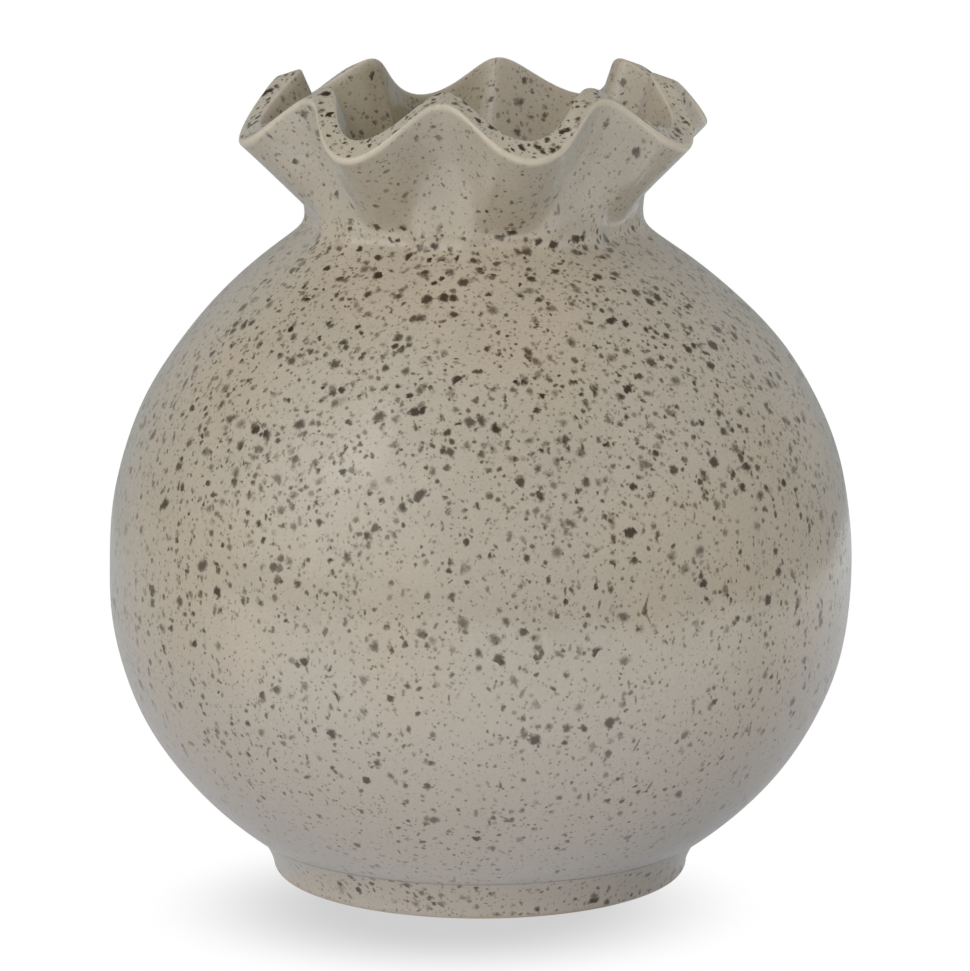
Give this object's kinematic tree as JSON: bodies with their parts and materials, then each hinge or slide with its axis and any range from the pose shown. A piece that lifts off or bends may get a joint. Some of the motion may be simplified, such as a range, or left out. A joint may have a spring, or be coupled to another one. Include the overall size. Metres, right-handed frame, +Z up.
{
  "type": "ruffled globe vase",
  "caption": "Round hollow stoneware vase on a low foot ring, with a short neck and a wide fluted, ruffled mouth, for flowers and water.",
  "frame": {"origin": "centre of the plane that the foot ring rests on", "axes": "+Z up along the turning axis, out of the mouth; -Y is the front, +X is to the right seen from the front"},
  "size_m": [0.14, 0.14, 0.1519],
  "materials": {
    "body_glaze": "glossy warm grey-beige glaze with dark iron speckles",
    "collar_glaze": "glossy warm grey-beige glaze with dark iron speckles, paler along the lip's edge",
    "floor_glaze": "grey-beige glaze inside, satin",
    "foot_glaze": "satin pinkish-beige glaze with dark speckles, bare clay on the resting edge"
  },
  "bodies": {
    "root": {"globe_body": "body_glaze", "ruffled_collar": "collar_glaze", "base_disc": "floor_glaze", "foot_ring": "foot_glaze"}
  },
  "joints": []
}
